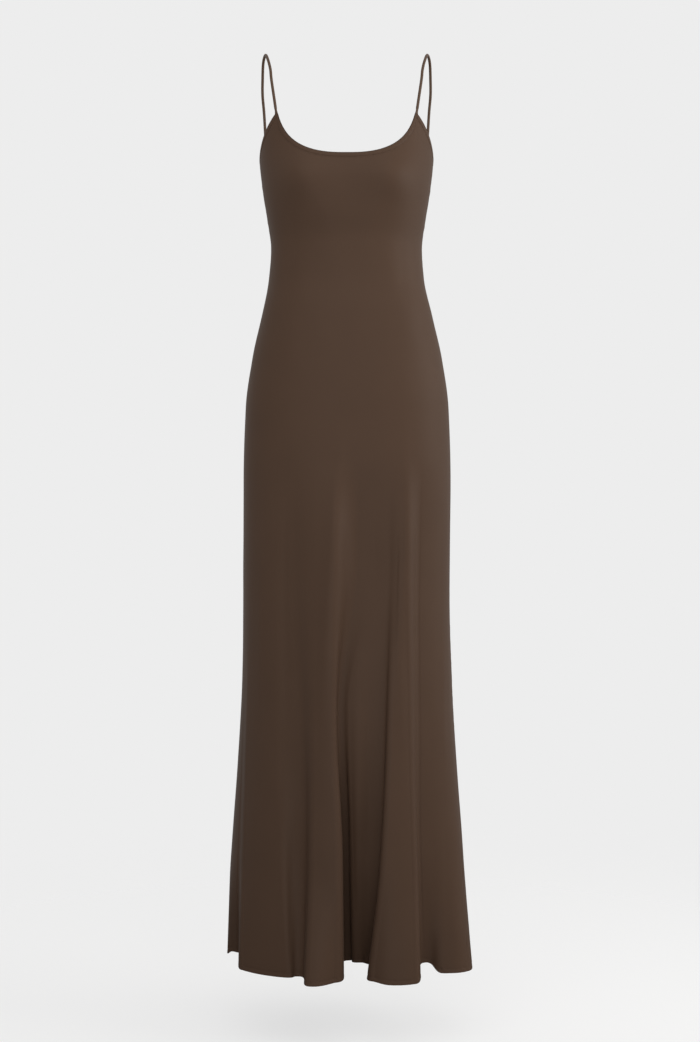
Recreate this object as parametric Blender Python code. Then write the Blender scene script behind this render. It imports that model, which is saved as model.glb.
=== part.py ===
# A bias-cut slip dress, worn and hollow: front and back panels, edge bindings and round straps.
# Sizes are in metres. The origin lies midway between the two places where the straps rest
# on the shoulders. The front of the dress faces -Y and the wearer's left is +X.

import math
from collections import namedtuple

import bpy
from mathutils import Vector

WALL = 0.0015
SEAM_GAP = 0.0003
HEM_HEIGHT = -1.440
HEM_TURN = 0.008
HEM_TURN_THICKNESS = 0.0008
BEND_RADIUS = 0.022

# The general figure that fills the dress, from the shoulders down to the hem.
Section = namedtuple("Section", "height half_width front_depth back_depth fullness shift")
SECTIONS = [
    Section(-0.100, 0.1374, 0.080, 0.086, 0.05, 0.000),
    Section(-0.165, 0.1380, 0.096, 0.096, 0.05, 0.000),
    Section(-0.213, 0.1336, 0.105, 0.097, 0.05, 0.000),
    Section(-0.262, 0.1259, 0.102, 0.091, 0.05, 0.000),
    Section(-0.310, 0.1198, 0.095, 0.084, 0.06, 0.000),
    Section(-0.357, 0.1230, 0.096, 0.085, 0.07, 0.000),
    Section(-0.421, 0.1364, 0.104, 0.098, 0.08, 0.001),
    Section(-0.485, 0.1506, 0.111, 0.112, 0.08, 0.001),
    Section(-0.565, 0.1612, 0.117, 0.121, 0.09, 0.001),
    Section(-0.680, 0.1644, 0.120, 0.122, 0.09, 0.001),
    Section(-0.870, 0.1642, 0.118, 0.116, 0.08, 0.000),
    Section(-1.000, 0.1670, 0.116, 0.114, 0.06, 0.001),
    Section(-1.125, 0.1739, 0.114, 0.113, 0.04, 0.001),
    Section(-1.270, 0.1846, 0.112, 0.112, 0.02, 0.001),
    Section(-1.450, 0.1950, 0.110, 0.112, 0.00, 0.003),
]

# Two soft rises over the bust, with the cloth spanning between them.
BUST_HEIGHT = -0.212
BUST_OFFSET = 0.076
BUST_RISE = 0.013
BUST_SPREAD_ACROSS = 0.040
BUST_SPREAD_UP = 0.042

# Folds stand at these heights: none at the seat, then deeper down to the hem.
FOLD_HEIGHTS = [-0.650, -0.800, -1.030, -1.270, -1.440]
HEM_DROP_BEGINS = -1.100
# A row for each crest and valley, all round from the right side seam (-90 degrees) over centre
# front (0). "turn" is its angle round the figure in degrees at the seat, knee, calf and hem,
# "rise" is how far it stands forward in mm at the thigh, knee, calf and hem, and "drop" is
# how far the hem hangs below its level in mm.
Fold = namedtuple("Fold", "name turn rise drop")
FRONT_FOLDS = [
    Fold("right_seam", (-90, -91, -94, -97), (0, 0, -2, -10), 0),
    Fold("right_dip", (-76, -72, -67, -66), (0, 0, -1, -34), -10),
    Fold("right_shoulder", (-62, -62, -58, -57), (0, 1, 5, 22), -1),
    Fold("right_crest", (-44, -40, -33, -28.5), (0, 1, 8, 20), 1),
    Fold("notch", (-30, -26, -22.5, -23), (-2, -3, -3, 8), 1),
    Fold("centre_crest", (-16, -15.5, -15, -17), (9, 11, 16, 38), 7),
    Fold("centre_shoulder", (-7.5, -8.6, -5.6, -6.2), (13, 14, 17, 24), 4),
    Fold("centre_valley", (6.5, -2.6, 0.2, 0.2), (-9, -9, -41, -70), -5),
    Fold("valley_ripple", (14, 1.6, 3.6, 4.2), (-8, -6, -27, -48), -8),
    Fold("valley_end", (21, 18.2, 14.2, 9.2), (-4, -3, -21, -54), -3),
    Fold("left_edge", (26, 23.8, 18.6, 11.6), (0, 9, 15, 15), 5),
    Fold("left_crest", (29, 28, 25.5, 21), (3, 9, 16, 27), 9),
    Fold("left_shoulder", (31.5, 32, 32, 31), (5, 8, 15, 32), 8),
    Fold("left_valley", (40, 40, 38, 38), (-9, -8, -7, -12), -11),
    Fold("side_crest", (56, 58, 54, 49), (-7, -4, 1, 9), 4),
    Fold("left_seam", (90, 86, 76, 73.5), (0, 0, 14, 38), 4),
]
BACK_FOLDS = [
    Fold("side_swell", (100, 99, 94, 90), (0, 0, 6, 46), 4),
    Fold("back_valley_1", (116, 116, 118, 118), (0, 3, 22, 10), -4),
    Fold("back_crest_1", (127, 127, 129, 129), (0, -3, -12, -30), 4),
    Fold("back_shoulder_1", (137, 138, 139, 140), (0, -4, -18, -38), 3),
    Fold("back_valley_2", (150, 150, 152, 153), (1, 4, 22, 38), -3),
    Fold("back_crest_2", (161, 162, 163, 163), (-1, -5, -19, -42), 5),
    Fold("back_shoulder_2", (173, 173, 174, 173), (-2, -5, -16, -34), 4),
    Fold("back_valley_3", (189, 189, 188, 187), (1, 7, 32, 56), -2),
    Fold("back_crest_3", (205, 204, 202, 200), (-1, -3, -13, -30), 3),
    Fold("back_shoulder_3", (216, 216, 215, 214), (-1, -5, -18, -42), 5),
    Fold("back_valley_4", (234, 233, 230, 228), (0, 3, 14, 26), -3),
    Fold("back_crest_4", (250, 249, 246, 243), (0, -1, -6, -16), 1),
]

# Top edges: a deep scoop between the front peaks, a lower one behind, and the armholes.
# Distances from the middle are taken on the figure at one level near these edges.
EDGE_LEVEL = -0.130
PEAK_HEIGHT = -0.1058
PEAK_INNER = 0.1078
PEAK_OUTER = 0.1110
SCOOP_HALF_WIDTH = 0.1138
SCOOP_START = -0.0360
SCOOP_DEPTH = 0.1402
SCOOP_POWER = 2.8
BACK_PEAK_HEIGHT = -0.1460
BACK_PEAK_OUTER_TURN = 112.0
BACK_PEAK_INNER_TURN = 115.5
BACK_EDGE_DEPTH = 0.052
BACK_EDGE_POWER = 2.2
# The armhole's edge from below the front peak, round under the arm, to below the back peak.
EdgeMark = namedtuple("EdgeMark", "turn height")
ARMHOLE = [
    EdgeMark(57.0, -0.1225),
    EdgeMark(64.0, -0.1320),
    EdgeMark(69.0, -0.1430),
    EdgeMark(74.0, -0.1530),
    EdgeMark(82.0, -0.1625),
    EdgeMark(90.0, -0.1685),
    EdgeMark(101.0, -0.1700),
    EdgeMark(107.5, -0.1600),
]

# Rows of faces up each panel, from the hem turn to the bodice.
Band = namedtuple("Band", "low high rows")
ROW_BANDS = [Band(HEM_TURN, 0.14, 3), Band(0.14, 0.54, 8), Band(0.54, 1.02, 8), Band(1.02, 1.18, 5)]
BODICE_ROWS = 6
# Columns of faces between one fold line and the next, and those beside each peak.
FRONT_STEPS = (3, 4, 3, 2, 3, 2, 4, 2, 2, 3, 2, 2, 4, 3, 3)
BACK_STEPS = (2, 3, 4, 2, 4, 4, 2, 4, 4, 2, 4, 3, 3)
FRONT_ARMHOLE_COLUMNS = 8
BACK_ARMHOLE_COLUMNS = 5
# Columns follow the fold lines in the skirt and are spaced along the top edge in the bodice.
COLUMNS_FREE_ABOVE = -0.30
COLUMNS_ON_FOLDS_BELOW = -0.72
# Small steps along and up the cloth for its outward direction.
TURN_STEP = 0.4
HEIGHT_STEP = 0.003

STRAP_RADIUS = 0.00225
STRAP_SIDES = 8
STRAP_STEPS = 5
# The left strap between its two sewn ends, over the shoulder.
STRAP_ROUTE = [
    (0.1130, -0.0525, -0.0825),
    (0.1180, -0.0450, -0.0485),
    (0.1200, -0.0375, -0.0305),
    (0.1245, -0.0236, -0.0115),
    (0.1296, 0.0000, 0.0022),
    (0.1340, 0.0150, -0.0065),
    (0.1357, 0.0275, -0.0300),
    (0.1361, 0.0350, -0.0535),
    (0.1337, 0.0400, -0.0845),
]

BINDING_WIDTH = 0.005
BINDING_THICKNESS = 0.0010
LONGEST_BINDING_LEG = 0.012

CLOTH_COLOUR = (0.065, 0.040, 0.028, 1.0)
BINDING_COLOUR = (0.055, 0.033, 0.023, 1.0)
CLOTH_ROUGHNESS = 0.42
SHARP_ANGLE = 50.0


def monotone_slopes(places, values):
    """Slopes of a smooth curve through the values that never overshoots them."""
    spans = [places[i + 1] - places[i] for i in range(len(places) - 1)]
    rates = [(values[i + 1] - values[i]) / spans[i] for i in range(len(spans))]
    slopes = [rates[0]]
    for before, after in zip(rates, rates[1:]):
        same_way = before * after > 0
        slopes.append(2 * before * after / (before + after) if same_way else 0.0)
    slopes.append(rates[-1])
    return slopes


def hermite(start, end, slope_in, slope_out, share):
    """Cubic blend from start to end with the given slopes at its ends."""
    square = share * share
    cube = square * share
    return (
        (2 * cube - 3 * square + 1) * start
        + (cube - 2 * square + share) * slope_in
        + (3 * square - 2 * cube) * end
        + (cube - square) * slope_out
    )


def curve_value(places, values, place):
    """Value at a place on the smooth curve through a table whose places rise."""
    if place <= places[0]:
        return values[0]
    if place >= places[-1]:
        return values[-1]
    index = max(i for i in range(len(places) - 1) if places[i] <= place)
    span = places[index + 1] - places[index]
    slopes = monotone_slopes(places, values)
    share = (place - places[index]) / span
    return hermite(values[index], values[index + 1], slopes[index] * span, slopes[index + 1] * span, share)


def ease(low, high, value):
    """Smooth step from 0 at low to 1 at high."""
    share = min(1.0, max(0.0, (value - low) / (high - low)))
    return share * share * (3 - 2 * share)


def section_at(height):
    """The figure's section at a height, read from the table."""
    places = [-section.height for section in SECTIONS]
    columns = list(zip(*SECTIONS))[1:]
    return Section(height, *[curve_value(places, column, -height) for column in columns])


def figure_point(turn, section):
    """Point of the smooth figure at an angle in degrees from centre front."""
    angle = math.radians(turn)
    depth = section.front_depth if math.cos(angle) > 0 else section.back_depth
    swell = 1 + section.fullness * math.sin(2 * angle) ** 2
    across = section.half_width * math.sin(angle) * swell + section.shift
    forward = -depth * math.cos(angle) * swell
    return across, forward


def turn_at(across, height):
    """Angle between 0 and 90 degrees where the figure is this far from the middle."""
    section = section_at(height)
    low, high = 0.0, 90.0
    for _ in range(40):
        middle = (low + high) / 2
        if figure_point(middle, section)[0] - section.shift < across:
            low = middle
        else:
            high = middle
    return (low + high) / 2


def fold_ring(height):
    """Every fold line at a height: its angle, how far it stands forward, and its hem drop."""
    places = [-level for level in FOLD_HEIGHTS]
    ring = []
    for fold in FRONT_FOLDS + BACK_FOLDS:
        turn = curve_value(places, (fold.turn[0],) + fold.turn, -height)
        rise = curve_value(places, (0,) + fold.rise, -height) / 1000
        ring.append((turn, rise, fold.drop / 1000))
    first = ring[0]
    last = ring[-1]
    before = (last[0] - 360, last[1], last[2])
    after = (first[0] + 360, first[1], first[2])
    second = (ring[1][0] + 360, ring[1][1], ring[1][2])
    return [before] + ring + [after, second]


class Level:
    """The ring of cloth at one height."""

    def __init__(self, height):
        self.height = height
        self.section = section_at(height)
        ring = fold_ring(height)
        self.turns = [line[0] for line in ring]
        self.rises = [line[1] for line in ring]
        self.drops = [line[2] for line in ring]
        self.rise_slopes = monotone_slopes(self.turns, self.rises)
        self.drop_slopes = monotone_slopes(self.turns, self.drops)
        self.hem_share = ease(HEM_DROP_BEGINS, HEM_HEIGHT, height)

    def turn_of_column(self, line, share):
        """Angle of a column that lies a share of the way past a fold line."""
        return self.turns[line + 1] + share * (self.turns[line + 2] - self.turns[line + 1])

    def point(self, turn):
        """Middle of the cloth at an angle, with its folds."""
        across, forward = figure_point(turn, self.section)
        while turn >= self.turns[-1]:
            turn -= 360
        while turn < self.turns[0]:
            turn += 360
        index = max(i for i in range(len(self.turns) - 1) if self.turns[i] <= turn)
        span = self.turns[index + 1] - self.turns[index]
        share = (turn - self.turns[index]) / span
        rise = hermite(
            self.rises[index],
            self.rises[index + 1],
            self.rise_slopes[index] * span,
            self.rise_slopes[index + 1] * span,
            share,
        )
        drop = hermite(
            self.drops[index],
            self.drops[index + 1],
            self.drop_slopes[index] * span,
            self.drop_slopes[index + 1] * span,
            share,
        )
        across += self.roll(index) * share * (1 - share) * (1 - 2 * share)
        bust = sum(
            math.exp(
                -(((across - side * BUST_OFFSET) / BUST_SPREAD_ACROSS) ** 2)
                - ((self.height - BUST_HEIGHT) / BUST_SPREAD_UP) ** 2
            )
            for side in (-1, 1)
        )
        front = max(0.0, math.cos(math.radians(turn)))
        forward -= rise + BUST_RISE * bust * min(1.0, 2 * front)
        return Vector((across, forward, self.height - drop * self.hem_share))

    def roll(self, index):
        """How strongly the cloth rolls over sideways between two fold lines, so that it bends softly."""
        start = figure_point(self.turns[index], self.section)
        end = figure_point(self.turns[index + 1], self.section)
        across = end[0] - start[0]
        climb = abs(self.rises[index + 1] - self.rises[index])
        wanted = math.sqrt(6 * BEND_RADIUS * climb)
        facing = abs(math.cos(math.radians((self.turns[index] + self.turns[index + 1]) / 2)))
        return math.copysign(max(0.0, wanted - abs(across)) * facing, across)


def front_top(turn):
    """Height of the front panel's top edge at an angle."""
    across = abs(figure_point(turn, section_at(EDGE_LEVEL))[0])
    if across <= PEAK_INNER:
        share = (across / SCOOP_HALF_WIDTH) ** SCOOP_POWER
        return SCOOP_START - SCOOP_DEPTH * (1 - share) ** (1 / SCOOP_POWER)
    if across <= PEAK_OUTER:
        return PEAK_HEIGHT
    return armhole_height(abs(turn))


def armhole_height(turn):
    """Height of the armhole's edge at an angle from centre front."""
    front_peak = EdgeMark(turn_at(PEAK_OUTER, EDGE_LEVEL), PEAK_HEIGHT)
    back_peak = EdgeMark(BACK_PEAK_OUTER_TURN, BACK_PEAK_HEIGHT)
    turns, heights = zip(front_peak, *ARMHOLE, back_peak)
    return curve_value(turns, heights, turn)


def back_top(turn):
    """Height of the back panel's top edge at an angle from centre front."""
    turn = turn if turn <= 180 else 360 - turn
    if turn <= BACK_PEAK_OUTER_TURN:
        return armhole_height(turn)
    if turn <= BACK_PEAK_INNER_TURN:
        return BACK_PEAK_HEIGHT
    share = (180 - turn) / (180 - BACK_PEAK_INNER_TURN)
    return BACK_PEAK_HEIGHT - BACK_EDGE_DEPTH * math.sqrt(1 - share**BACK_EDGE_POWER)


def spread(start, end, count):
    """Evenly spaced values after start, up to and including end."""
    return [start + (end - start) * (i + 1) / count for i in range(count)]


def bend_shares(count):
    """Shares of the way from one fold line to the next, closer together where the cloth bends."""
    return [(1 - math.cos(math.pi * share)) / 2 for share in spread(0, 1, count)]


def front_top_turns(count):
    """Angles of the front panel's columns at its top edge."""
    outer = turn_at(PEAK_OUTER, EDGE_LEVEL)
    side = FRONT_ARMHOLE_COLUMNS
    scoop = count - 2 * side - 2
    edge = math.asin(PEAK_INNER / SCOOP_HALF_WIDTH)
    turns = [-90.0] + spread(-90, -outer, side)
    for step in range(scoop + 1):
        across = SCOOP_HALF_WIDTH * math.sin(edge * (2 * step / scoop - 1))
        turns.append(math.copysign(turn_at(abs(across), EDGE_LEVEL), across))
    return turns + [outer] + spread(outer, 90, side)


def back_top_turns(count):
    """Angles of the back panel's columns at its top edge."""
    side = BACK_ARMHOLE_COLUMNS
    scoop = count - 2 * side - 2
    reach = 180 - BACK_PEAK_INNER_TURN
    turns = [90.0] + spread(90, BACK_PEAK_OUTER_TURN, side)
    for step in range(scoop + 1):
        turns.append(180 + reach * math.sin(math.radians(90 * (2 * step / scoop - 1))))
    return turns + [360 - BACK_PEAK_OUTER_TURN] + spread(360 - BACK_PEAK_OUTER_TURN, 270, side)


def panel_grid(first_line, steps, top_turns, top_height):
    """Columns of points in the middle of the cloth from hem to top edge, with their outward directions."""
    columns = [(first_line, 0.0)]
    for line, count in enumerate(steps):
        columns += [(first_line + line, share) for share in bend_shares(count)]
    heights = [HEM_HEIGHT, HEM_HEIGHT + HEM_TURN]
    for band in ROW_BANDS:
        heights += [HEM_HEIGHT + rise for rise in spread(band.low, band.high, band.rows)]
    yoke = heights[-1]
    levels = [Level(height) for height in heights]
    grid = []
    for (line, share), top_turn in zip(columns, top_turns):
        column = []
        for level in levels:
            column.append(cloth_point(level, line, share, top_turn))
        top = top_height(top_turn)
        for height in spread(yoke, top - binding_leg(top_turn, top_height), BODICE_ROWS) + [top]:
            column.append(cloth_point(Level(height), line, share, top_turn))
        grid.append(column)
    return grid


def binding_leg(turn, top_height):
    """Height of a binding at an angle, longer where the edge is steep, so that its width stays even."""
    level = Level(top_height(turn))
    run = (level.point(turn + 1) - level.point(turn - 1)).length
    climb = abs(top_height(turn + 1) - top_height(turn - 1))
    return min(LONGEST_BINDING_LEG, BINDING_WIDTH * math.hypot(1, climb / run))


def cloth_point(level, line, share, top_turn):
    """Point and outward direction of one column of the mesh at one height."""
    folded = level.turn_of_column(line, share)
    free = ease(COLUMNS_ON_FOLDS_BELOW, COLUMNS_FREE_ABOVE, level.height)
    turn = folded + (top_turn - folded) * free
    return level.point(turn), outward(level, turn)


def outward(level, turn):
    """Direction straight out of the cloth."""
    along = level.point(turn + TURN_STEP) - level.point(turn - TURN_STEP)
    up = Level(level.height + HEIGHT_STEP).point(turn) - Level(level.height - HEIGHT_STEP).point(turn)
    return along.cross(up).normalized()


def draw_in_seams(grid):
    """Moves the first and last columns inward by half of the gap at the side seams."""
    for edge, inner in ((grid[0], grid[1]), (grid[-1], grid[-2])):
        seam = [point for point, direction in edge]
        for row, (point, direction) in enumerate(edge):
            along = seam[min(len(seam) - 1, row + 1)] - seam[max(0, row - 1)]
            across = direction.cross(along).normalized()
            side = math.copysign(1, across.dot(inner[row][0] - point))
            edge[row] = (point + across * side * SEAM_GAP / 2, direction)


def panel_mesh(name, grid):
    """Closed wall of cloth round a grid of points, thicker inside at the turned hem."""
    rows = len(grid[0])
    vertices = []
    for side in (1, -1):
        for column in grid:
            for row, (point, direction) in enumerate(column):
                turned = HEM_TURN_THICKNESS if side < 0 and row < 2 else 0.0
                vertices.append(point + direction * side * (WALL / 2 + turned))
    inside = len(grid) * rows
    faces = []
    for column in range(len(grid) - 1):
        for row in range(rows - 1):
            corner = column * rows + row
            beside = corner + rows
            faces.append((corner, beside, beside + 1, corner + 1))
            faces.append((inside + corner, inside + corner + 1, inside + beside + 1, inside + beside))
        for row in (0, rows - 1):
            corner = column * rows + row
            beside = corner + rows
            rim = (corner, inside + corner, inside + beside, beside)
            faces.append(rim if row == 0 else rim[::-1])
    for column in (0, len(grid) - 1):
        for row in range(rows - 1):
            corner = column * rows + row
            rim = (corner, corner + 1, inside + corner + 1, inside + corner)
            faces.append(rim if column == 0 else turned_over(rim))
    return new_object(name, vertices, faces)


def turned_over(face):
    """The same face seen from behind, with its first and third corners kept."""
    return face[:1] + face[:0:-1]


def new_object(name, vertices, faces):
    """Named object from vertices and faces, with its own cloth material."""
    mesh = bpy.data.meshes.new(name)
    mesh.from_pydata([tuple(vertex) for vertex in vertices], [], faces)
    mesh.update()
    mesh.shade_smooth()
    mesh.set_sharp_from_angle(angle=math.radians(SHARP_ANGLE))
    thing = bpy.data.objects.new(name, mesh)
    bpy.context.scene.collection.objects.link(thing)
    mesh.materials.append(cloth_material(name))
    return thing


def cloth_material(name):
    """Plain satin finish for one piece."""
    material = bpy.data.materials.new(name)
    material.use_nodes = True
    shader = material.node_tree.nodes["Principled BSDF"]
    trim = "binding" in name or "strap" in name
    shader.inputs["Base Color"].default_value = BINDING_COLOUR if trim else CLOTH_COLOUR
    shader.inputs["Roughness"].default_value = CLOTH_ROUGHNESS
    shader.inputs["Metallic"].default_value = 0.0
    return material


def loft(name, rings):
    """Closed solid through rings of equal length, capped at both ends."""
    size = len(rings[0])
    vertices = [point for ring in rings for point in ring]
    faces = [tuple(range(size))[::-1]]
    for ring in range(len(rings) - 1):
        for index in range(size):
            here = ring * size + index
            beside = ring * size + (index + 1) % size
            faces.append((here, beside, beside + size, here + size))
    last = (len(rings) - 1) * size
    faces.append(tuple(range(last, last + size)))
    return new_object(name, vertices, faces)


def binding(name, columns):
    """Narrow strip folded over a top edge, made from the top two rows of the panels' columns."""
    half_inside = WALL / 2 + SEAM_GAP
    half_outside = half_inside + BINDING_THICKNESS
    rings = []
    for index, column in enumerate(columns):
        foot, foot_out = column[-2]
        top, top_out = column[-1]
        before = columns[max(0, index - 1)][-1][0]
        after = columns[min(len(columns) - 1, index + 1)][-1][0]
        beyond = top_out.cross(after - before).normalized()
        ridge = top + beyond * (SEAM_GAP + BINDING_THICKNESS)
        trough = top + beyond * SEAM_GAP
        rings.append(
            [
                foot - foot_out * half_outside,
                ridge - top_out * half_outside,
                ridge + top_out * half_outside,
                foot + foot_out * half_outside,
                foot + foot_out * half_inside,
                trough + top_out * half_inside,
                trough - top_out * half_inside,
                foot - foot_out * half_inside,
            ]
        )
    return loft(name, rings)


def peak_middle(grid, edge, side):
    """Middle of a peak's short top edge, just above the cloth."""
    corners = (-edge - 1, -edge - 2) if side > 0 else (edge, edge + 1)
    rim = [grid[corner][-1] for corner in corners]
    middle = (rim[0][0] + rim[1][0]) / 2
    highest = max(point.z + abs(direction.z) * WALL / 2 for point, direction in rim)
    return Vector((middle.x, middle.y, highest + SEAM_GAP))


def strap(name, side, front_foot, back_foot):
    """Round strap over one shoulder, from front peak to back peak."""
    route = [front_foot] + [Vector((side * x, y, z)) for x, y, z in STRAP_ROUTE] + [back_foot]
    centres = [route[0]]
    for index in range(len(route) - 1):
        start = route[index]
        end = route[index + 1]
        before = route[max(0, index - 1)]
        after = route[min(len(route) - 1, index + 2)]
        pull_in = (end - before) / 2
        pull_out = (after - start) / 2
        for share in spread(0, 1, STRAP_STEPS):
            centres.append(hermite(start, end, pull_in, pull_out, share))
    rings = []
    outer = Vector((side, 0, 0))
    for index, centre in enumerate(centres):
        ahead = centres[min(len(centres) - 1, index + 1)] - centres[max(0, index - 1)]
        across = outer - ahead * (outer.dot(ahead) / ahead.length_squared)
        across.normalize()
        upright = ahead.normalized().cross(across)
        ring = []
        for corner in range(STRAP_SIDES):
            angle = 2 * math.pi * corner / STRAP_SIDES
            corner_point = centre + (across * math.cos(angle) + upright * math.sin(angle)) * STRAP_RADIUS
            if index in (0, len(centres) - 1):
                corner_point.z = centre.z
            ring.append(corner_point)
        rings.append(ring)
    return loft(name, rings)


def clear_scene():
    """Removes whatever the scene holds."""
    for thing in list(bpy.data.objects):
        bpy.data.objects.remove(thing, do_unlink=True)


def main():
    clear_scene()
    front = panel_grid(0, FRONT_STEPS, front_top_turns(sum(FRONT_STEPS)), front_top)
    back_first = len(FRONT_FOLDS) - 1
    back = panel_grid(back_first, BACK_STEPS, back_top_turns(sum(BACK_STEPS)), back_top)
    draw_in_seams(front)
    draw_in_seams(back)
    panel_mesh("front_panel", front)
    panel_mesh("back_panel", back)
    front_edge = FRONT_ARMHOLE_COLUMNS
    back_edge = BACK_ARMHOLE_COLUMNS
    binding("neck_binding_front", front[front_edge + 1 : len(front) - front_edge - 1])
    binding("neck_binding_back", back[back_edge + 1 : len(back) - back_edge - 1])
    binding("armhole_binding_left", front[-front_edge - 1 :] + back[1 : back_edge + 1])
    binding("armhole_binding_right", back[-back_edge - 1 : -1] + front[: front_edge + 1])
    for side, name in ((1, "strap_left"), (-1, "strap_right")):
        strap(name, side, peak_middle(front, front_edge, side), peak_middle(back, back_edge, -side))


main()
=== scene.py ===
import math

import bpy
import numpy as np
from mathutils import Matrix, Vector


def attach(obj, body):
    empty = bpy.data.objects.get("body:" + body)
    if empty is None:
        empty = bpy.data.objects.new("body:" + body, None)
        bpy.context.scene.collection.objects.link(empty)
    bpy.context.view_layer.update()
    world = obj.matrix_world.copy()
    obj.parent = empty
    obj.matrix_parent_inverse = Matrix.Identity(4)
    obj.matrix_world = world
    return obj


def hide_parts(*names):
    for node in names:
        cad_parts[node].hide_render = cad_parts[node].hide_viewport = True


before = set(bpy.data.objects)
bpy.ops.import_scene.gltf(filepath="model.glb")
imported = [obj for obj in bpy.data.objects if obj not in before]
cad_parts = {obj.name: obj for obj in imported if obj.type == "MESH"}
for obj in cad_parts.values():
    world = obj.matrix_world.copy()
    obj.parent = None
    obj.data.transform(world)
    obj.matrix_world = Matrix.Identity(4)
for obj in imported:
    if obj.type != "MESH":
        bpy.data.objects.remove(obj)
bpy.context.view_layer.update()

tiny = 1e-9  # keeps divisions safe
sharpFrom = 60  # degrees between faces that meet in a crisp edge


def bend(start, end, slopeIn, slopeOut, share):  # cubic from start to end
    square = share * share
    cube = square * share
    ends = (2 * cube - 3 * square + 1) * start + (3 * square - 2 * cube) * end
    return ends + (cube - 2 * square + share) * slopeIn + (cube - square) * slopeOut


def slopesOf(places, values):  # slopes that never overshoot the values
    rates = np.diff(values) / np.diff(places)
    product = rates[:-1] * rates[1:]
    total = np.where(product > 0, rates[:-1] + rates[1:], 1)
    inner = np.where(product > 0, 2 * product / total, 0)
    return np.concatenate(([rates[0]], inner, [rates[-1]]))


def smooth(places, values, at):  # smooth curve through a table, level past its ends
    places, values = np.asarray(places, float), np.asarray(values, float)
    at = np.clip(at, places[0], places[-1])
    index = np.clip(np.searchsorted(places, at, side="right") - 1, 0, len(places) - 2)
    span = places[index + 1] - places[index]
    slopes = slopesOf(places, values)
    share = (at - places[index]) / span
    slopeIn, slopeOut = slopes[index] * span, slopes[index + 1] * span
    return bend(values[index], values[index + 1], slopeIn, slopeOut, share)


def ease(low, high, value):
    share = np.clip((value - low) / (high - low), 0, 1)
    return share * share * (3 - 2 * share)


def spread(start, end, count):  # after start, up to and including end
    return start + (end - start) * np.arange(1, count + 1) / count


def hump(value, middle, width):  # 1 at the middle, dying away at either side
    return np.exp(-(((value - middle) / width) ** 2))


def wave(at, ripple):  # uneven ripple, about -1 to 1, from a few lengths and where each starts
    lengths, starts = ripple
    total = sum(np.sin(2 * np.pi * at / length + start) for length, start in zip(lengths, starts))
    return total / len(lengths)


def uneven(at, ripple, share):  # 1 at most, and less where the ripple is low
    return 1 - share + share * wave(at, ripple)


def along(grid, axis):  # distance travelled over a grid of points
    steps = np.linalg.norm(np.diff(grid, axis=axis), axis=-1)
    start = np.zeros_like(np.take(steps, [0], axis=axis))
    return np.concatenate([start, np.cumsum(steps, axis=axis)], axis=axis)


def unit(vectors):
    return vectors / np.maximum(np.linalg.norm(vectors, axis=-1, keepdims=True), tiny)


def outward(grid):  # unit vectors straight out of the cloth
    return unit(np.cross(np.gradient(grid, axis=0), np.gradient(grid, axis=1)))


# the general figure that fills the dress, in metres
figure = {
    "rows": [  # height, half width, front depth, back depth, fullness, sideways shift
        (-0.100, 0.1374, 0.080, 0.086, 0.05, 0.000),
        (-0.165, 0.1380, 0.096, 0.096, 0.05, 0.000),
        (-0.213, 0.1336, 0.105, 0.097, 0.05, 0.000),
        (-0.262, 0.1259, 0.102, 0.091, 0.05, 0.000),
        (-0.310, 0.1198, 0.095, 0.084, 0.06, 0.000),
        (-0.357, 0.1230, 0.096, 0.085, 0.07, 0.000),
        (-0.421, 0.1364, 0.104, 0.098, 0.08, 0.001),
        (-0.485, 0.1506, 0.111, 0.112, 0.08, 0.001),
        (-0.565, 0.1612, 0.117, 0.121, 0.09, 0.001),
        (-0.680, 0.1644, 0.120, 0.122, 0.09, 0.001),
        (-0.870, 0.1642, 0.118, 0.116, 0.08, 0.000),
        (-1.000, 0.1670, 0.116, 0.114, 0.06, 0.001),
        (-1.125, 0.1739, 0.114, 0.113, 0.04, 0.001),
        (-1.270, 0.1846, 0.112, 0.112, 0.02, 0.001),
        (-1.450, 0.1950, 0.110, 0.112, 0.00, 0.003),
    ],
    "bustHeight": -0.212,
    "bustOffset": 0.076,  # of each side from the middle
    "bustRise": 0.013,
    "bustAcross": 0.040,
    "bustUp": 0.042,
}


def figureAt(height):  # half width, front depth, back depth, fullness, shift
    rows = np.array(figure["rows"])
    return [smooth(-rows[:, 0], rows[:, k], -np.asarray(height, float)) for k in range(1, 6)]


def figurePoint(turn, section):
    halfWidth, front, back, fullness, shift = section
    angle = np.radians(turn)
    depth = np.where(np.cos(angle) > 0, front, back)
    swell = 1 + fullness * np.sin(2 * angle) ** 2
    return halfWidth * np.sin(angle) * swell + shift, -depth * np.cos(angle) * swell


def bustRise(across, turn, height):
    rise = 0
    for side in (-1, 1):
        wide = (across - side * figure["bustOffset"]) / figure["bustAcross"]
        high = (height - figure["bustHeight"]) / figure["bustUp"]
        rise = rise + figure["bustRise"] * np.exp(-(wide**2) - high**2)
    return rise * np.minimum(1, 2 * np.maximum(0, np.cos(np.radians(turn))))  # front only


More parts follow.
